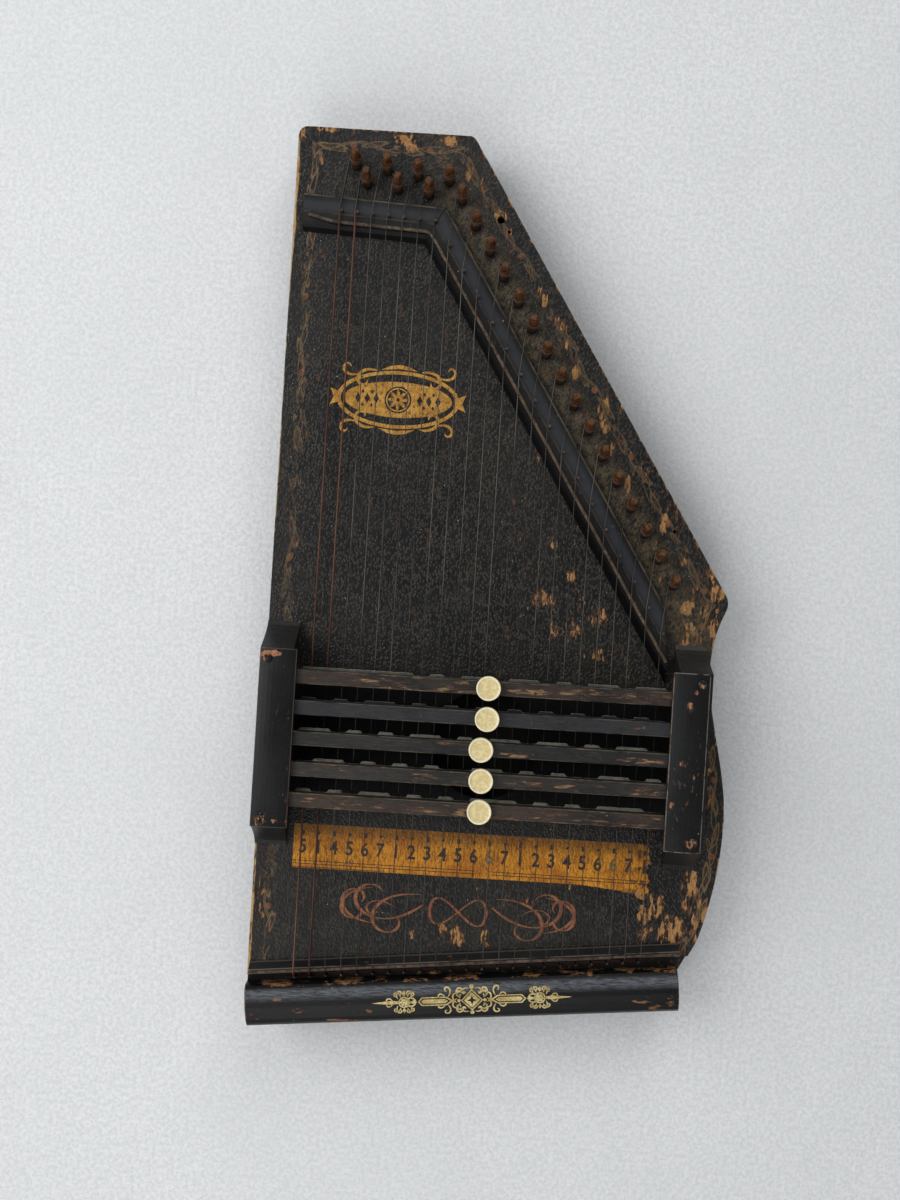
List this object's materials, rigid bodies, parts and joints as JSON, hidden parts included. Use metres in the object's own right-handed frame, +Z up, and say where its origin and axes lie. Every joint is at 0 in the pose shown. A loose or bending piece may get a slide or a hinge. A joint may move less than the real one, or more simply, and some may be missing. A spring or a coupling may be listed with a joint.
{
  "type": "autoharp",
  "caption": "Flat black zither with felted chord bars on springs over tuned strings, a slanted row of tuning pins and a swelled end rail.",
  "frame": {"origin": "centre of the bounding box, on the surface that the feet stand on", "axes": "+X along the chord bars from bass to treble, +Y along the strings toward the tuning pins, +Z up"},
  "size_m": [0.2504, 0.4834, 0.0656],
  "materials": {
    "black_lacquer": "aged black lacquer, crackled",
    "bare_wood": "black outside, bare where worn",
    "worn_black": "black stain worn to brown",
    "rusty_steel": "brown rust",
    "string_wire": "tarnished",
    "spring_wire": "bright drawn",
    "felt": "pressed wool felt",
    "ivory": "aged ivory colour, satin"
  },
  "bodies": {
    "body": {"back_board": "black_lacquer", "bar_holder_left": "black_lacquer", "bar_holder_right": "black_lacquer", "bass_side": "bare_wood", "cross_brace": "bare_wood", "end_rail": "black_lacquer", "foot_tail_left": "worn_black", "foot_tail_right": "worn_black", "foot_top": "worn_black", "holder_cover_left": "black_lacquer", "holder_cover_right": "black_lacquer", "lower_bridge": "black_lacquer", "lower_bridge_rod": "rusty_steel", "pin_block": "bare_wood", "soundboard": "black_lacquer", "spring_row_left": "spring_wire", "spring_row_right": "spring_wire", "string_set": "string_wire", "tail_block": "bare_wood", "treble_side": "bare_wood", "upper_bridge": "black_lacquer", "upper_bridge_rod": "rusty_steel"},
    "tuning_pin_01": {"tuning_pin_01": "rusty_steel"},
    "tuning_pin_02": {"tuning_pin_02": "rusty_steel"},
    "tuning_pin_03": {"tuning_pin_03": "rusty_steel"},
    "tuning_pin_04": {"tuning_pin_04": "rusty_steel"},
    "tuning_pin_05": {"tuning_pin_05": "rusty_steel"},
    "tuning_pin_06": {"tuning_pin_06": "rusty_steel"},
    "tuning_pin_07": {"tuning_pin_07": "rusty_steel"},
    "tuning_pin_08": {"tuning_pin_08": "rusty_steel"},
    "tuning_pin_09": {"tuning_pin_09": "rusty_steel"},
    "tuning_pin_10": {"tuning_pin_10": "rusty_steel"},
    "tuning_pin_11": {"tuning_pin_11": "rusty_steel"},
    "tuning_pin_12": {"tuning_pin_12": "rusty_steel"},
    "tuning_pin_13": {"tuning_pin_13": "rusty_steel"},
    "tuning_pin_14": {"tuning_pin_14": "rusty_steel"},
    "tuning_pin_15": {"tuning_pin_15": "rusty_steel"},
    "tuning_pin_16": {"tuning_pin_16": "rusty_steel"},
    "tuning_pin_17": {"tuning_pin_17": "rusty_steel"},
    "tuning_pin_18": {"tuning_pin_18": "rusty_steel"},
    "tuning_pin_19": {"tuning_pin_19": "rusty_steel"},
    "tuning_pin_20": {"tuning_pin_20": "rusty_steel"},
    "tuning_pin_21": {"tuning_pin_21": "rusty_steel"},
    "tuning_pin_22": {"tuning_pin_22": "rusty_steel"},
    "tuning_pin_23": {"tuning_pin_23": "rusty_steel"},
    "bar_1": {"chord_bar_1": "worn_black", "damper_felt_1": "felt", "bar_button_1": "ivory"},
    "bar_2": {"chord_bar_2": "worn_black", "damper_felt_2": "felt", "bar_button_2": "ivory"},
    "bar_3": {"chord_bar_3": "worn_black", "damper_felt_3": "felt", "bar_button_3": "ivory"},
    "bar_4": {"chord_bar_4": "worn_black", "damper_felt_4": "felt", "bar_button_4": "ivory"},
    "bar_5": {"chord_bar_5": "worn_black", "damper_felt_5": "felt", "bar_button_5": "ivory"}
  },
  "joints": [
    {"name": "turn_pin_01", "type": "hinge", "parent": "body", "child": "tuning_pin_01", "pos_m": [-0.093, 0.22165, 0.0363], "axis": [0, 0.1908, 0.9816], "continuous": true},
    {"name": "turn_pin_02", "type": "hinge", "parent": "body", "child": "tuning_pin_02", "pos_m": [-0.08675, 0.21217, 0.0363], "axis": [0, 0.1908, 0.9816], "continuous": true},
    {"name": "turn_pin_03", "type": "hinge", "parent": "body", "child": "tuning_pin_03", "pos_m": [-0.0763, 0.21984, 0.0363], "axis": [0, 0.1908, 0.9816], "continuous": true},
    {"name": "turn_pin_04", "type": "hinge", "parent": "body", "child": "tuning_pin_04", "pos_m": [-0.07005, 0.21036, 0.0363], "axis": [0, 0.1908, 0.9816], "continuous": true},
    {"name": "turn_pin_05", "type": "hinge", "parent": "body", "child": "tuning_pin_05", "pos_m": [-0.0596, 0.21802, 0.0363], "axis": [0, 0.1908, 0.9816], "continuous": true},
    {"name": "turn_pin_06", "type": "hinge", "parent": "body", "child": "tuning_pin_06", "pos_m": [-0.05335, 0.20854, 0.0363], "axis": [0, 0.1908, 0.9816], "continuous": true},
    {"name": "turn_pin_07", "type": "hinge", "parent": "body", "child": "tuning_pin_07", "pos_m": [-0.0429, 0.21621, 0.0363], "axis": [0, 0.1908, 0.9816], "continuous": true},
    {"name": "turn_pin_08", "type": "hinge", "parent": "body", "child": "tuning_pin_08", "pos_m": [-0.03545, 0.20634, 0.0363], "axis": [0, 0.1908, 0.9816], "continuous": true},
    {"name": "turn_pin_09", "type": "hinge", "parent": "body", "child": "tuning_pin_09", "pos_m": [-0.0271, 0.1931, 0.0363], "axis": [0, 0.1908, 0.9816], "continuous": true},
    {"name": "turn_pin_10", "type": "hinge", "parent": "body", "child": "tuning_pin_10", "pos_m": [-0.01875, 0.17986, 0.0363], "axis": [0, 0.1908, 0.9816], "continuous": true},
    {"name": "turn_pin_11", "type": "hinge", "parent": "body", "child": "tuning_pin_11", "pos_m": [-0.0104, 0.16662, 0.0363], "axis": [0, 0.1908, 0.9816], "continuous": true},
    {"name": "turn_pin_12", "type": "hinge", "parent": "body", "child": "tuning_pin_12", "pos_m": [-0.00205, 0.15338, 0.0363], "axis": [0, 0.1908, 0.9816], "continuous": true},
    {"name": "turn_pin_13", "type": "hinge", "parent": "body", "child": "tuning_pin_13", "pos_m": [0.0063, 0.14014, 0.0363], "axis": [0, 0.1908, 0.9816], "continuous": true},
    {"name": "turn_pin_14", "type": "hinge", "parent": "body", "child": "tuning_pin_14", "pos_m": [0.01465, 0.1269, 0.0363], "axis": [0, 0.1908, 0.9816], "continuous": true},
    {"name": "turn_pin_15", "type": "hinge", "parent": "body", "child": "tuning_pin_15", "pos_m": [0.023, 0.11366, 0.0363], "axis": [0, 0.1908, 0.9816], "continuous": true},
    {"name": "turn_pin_16", "type": "hinge", "parent": "body", "child": "tuning_pin_16", "pos_m": [0.03135, 0.10042, 0.0363], "axis": [0, 0.1908, 0.9816], "continuous": true},
    {"name": "turn_pin_17", "type": "hinge", "parent": "body", "child": "tuning_pin_17", "pos_m": [0.0397, 0.08718, 0.0363], "axis": [0, 0.1908, 0.9816], "continuous": true},
    {"name": "turn_pin_18", "type": "hinge", "parent": "body", "child": "tuning_pin_18", "pos_m": [0.04805, 0.07394, 0.0363], "axis": [0, 0.1908, 0.9816], "continuous": true},
    {"name": "turn_pin_19", "type": "hinge", "parent": "body", "child": "tuning_pin_19", "pos_m": [0.0564, 0.06071, 0.0363], "axis": [0, 0.1908, 0.9816], "continuous": true},
    {"name": "turn_pin_20", "type": "hinge", "parent": "body", "child": "tuning_pin_20", "pos_m": [0.06475, 0.04747, 0.0363], "axis": [0, 0.1908, 0.9816], "continuous": true},
    {"name": "turn_pin_21", "type": "hinge", "parent": "body", "child": "tuning_pin_21", "pos_m": [0.0731, 0.03423, 0.0363], "axis": [0, 0.1908, 0.9816], "continuous": true},
    {"name": "turn_pin_22", "type": "hinge", "parent": "body", "child": "tuning_pin_22", "pos_m": [0.08145, 0.02099, 0.0363], "axis": [0, 0.1908, 0.9816], "continuous": true},
    {"name": "turn_pin_23", "type": "hinge", "parent": "body", "child": "tuning_pin_23", "pos_m": [0.0898, 0.00775, 0.0363], "axis": [0, 0.1908, 0.9816], "continuous": true},
    {"name": "press_bar_1", "type": "slide", "parent": "body", "child": "bar_1", "axis": [0, 0, -1], "range_m": [0, 0.003], "stiffness_N_per_m": 400, "springref_m": -0.003, "deforming": ["spring_row_left", "spring_row_right"]},
    {"name": "press_bar_2", "type": "slide", "parent": "body", "child": "bar_2", "axis": [0, 0, -1], "range_m": [0, 0.003], "stiffness_N_per_m": 400, "springref_m": -0.003, "deforming": ["spring_row_left", "spring_row_right"]},
    {"name": "press_bar_3", "type": "slide", "parent": "body", "child": "bar_3", "axis": [0, 0, -1], "range_m": [0, 0.003], "stiffness_N_per_m": 400, "springref_m": -0.003, "deforming": ["spring_row_left", "spring_row_right"]},
    {"name": "press_bar_4", "type": "slide", "parent": "body", "child": "bar_4", "axis": [0, 0, -1], "range_m": [0, 0.003], "stiffness_N_per_m": 400, "springref_m": -0.003, "deforming": ["spring_row_left", "spring_row_right"]},
    {"name": "press_bar_5", "type": "slide", "parent": "body", "child": "bar_5", "axis": [0, 0, -1], "range_m": [0, 0.003], "stiffness_N_per_m": 400, "springref_m": -0.003, "deforming": ["spring_row_left", "spring_row_right"]}
  ]
}
